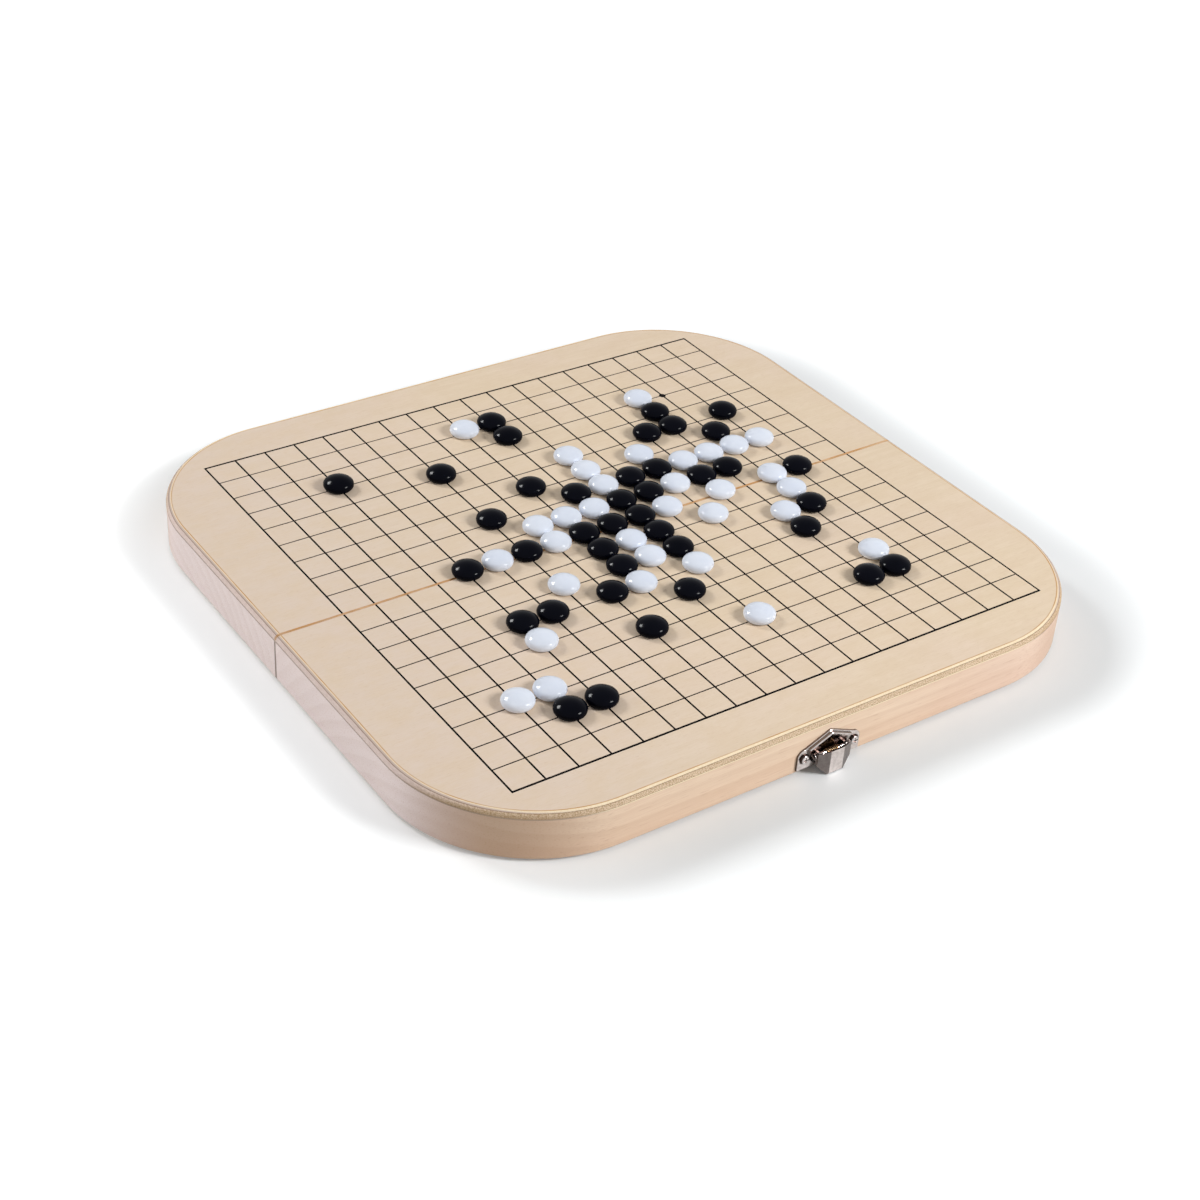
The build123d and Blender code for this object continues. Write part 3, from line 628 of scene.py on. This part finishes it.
bmesh.ops.spin(
    one_stone, geom=one_stone.verts[:] + one_stone.edges[:], cent=(0, 0, 0), axis=(0, 0, 1),
    angle=2 * math.pi, steps=stone_sides, use_merge=True,
)
bmesh.ops.remove_doubles(one_stone, verts=one_stone.verts, dist=merge_gap)
bmesh.ops.recalc_face_normals(one_stone, faces=one_stone.faces)
for face in one_stone.faces:
    face.smooth = True
stone_shape = bpy.data.meshes.new("stone shape")
one_stone.to_mesh(stone_shape)
one_stone.free()


def lay_stones(name, body, finish):
    """Lays a finished stone wherever the plain part has one, and gives each a shade of its own."""
    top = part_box(name)[1][2]
    highest = [corner.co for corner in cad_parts[name].data.vertices if corner.co.z > top - top_gap]
    places = sorted({(round(point.x, 5), round(point.y, 5)) for point in highest})
    heap = bmesh.new()
    shade = heap.verts.layers.float.new("shade")
    for number, (x, y) in enumerate(places):
        before = len(heap.verts)
        heap.from_mesh(stone_shape)
        heap.verts.ensure_lookup_table()
        new = heap.verts[before:]
        turn = Matrix.Rotation(number * stone_turn, 3, "Z")
        bmesh.ops.rotate(heap, verts=new, cent=(0, 0, 0), matrix=turn)
        bmesh.ops.translate(heap, verts=new, vec=(x, y, top - stone_height))
        for vert in new:
            vert[shade] = (number * shade_step) % 1
    data = bpy.data.meshes.new(name + "_laid")
    heap.to_mesh(data)
    heap.free()
    stones = bpy.data.objects.new(name + "_laid", data)
    bpy.context.collection.objects.link(stones)
    data.materials.append(finish)
    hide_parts(name)
    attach(stones, body)


def stone_finish(name, body, cloudy, shine):
    """A hard glossy body with faint clouds, scratches and a shade that differs from stone to stone."""
    finish, tree, shader = new_finish(name, shine)
    clouds = noise(tree, stretched(tree, (0.18, 0.18, 0.18), (4, 4, 4)), detail=4.0, roughness=0.6)
    own_shade = place_node(tree, "ShaderNodeAttribute", attribute_name="shade").outputs["Fac"]
    cloudiness = maths(tree, "MULTIPLY_ADD", own_shade, 0.5, between(tree, clouds, 0.35, 0.7, 0.0, 0.5))
    tree.links.new(blend_colour(tree, cloudiness, body, cloudy), shader["Base Color"])
    dullness = handled(tree, scale=1.0, smudged=0.7)
    tree.links.new(between(tree, dullness, 0.0, 1.0, 0.1, 0.2), shader["Roughness"])
    emboss(tree, shader, clouds, strength=0.2, depth=0.00002)
    return finish


white_stone = stone_finish("white stone", tint(226, 232, 243), tint(217, 224, 238), shine=0.1)
black_stone = stone_finish("black stone", tint(4, 5, 13), tint(8, 9, 18), shine=0.035)
for half in ("front", "rear"):
    lay_stones(f"white_stones_{half}", f"white_{half}", white_stone)
    lay_stones(f"black_stones_{half}", f"black_{half}", black_stone)
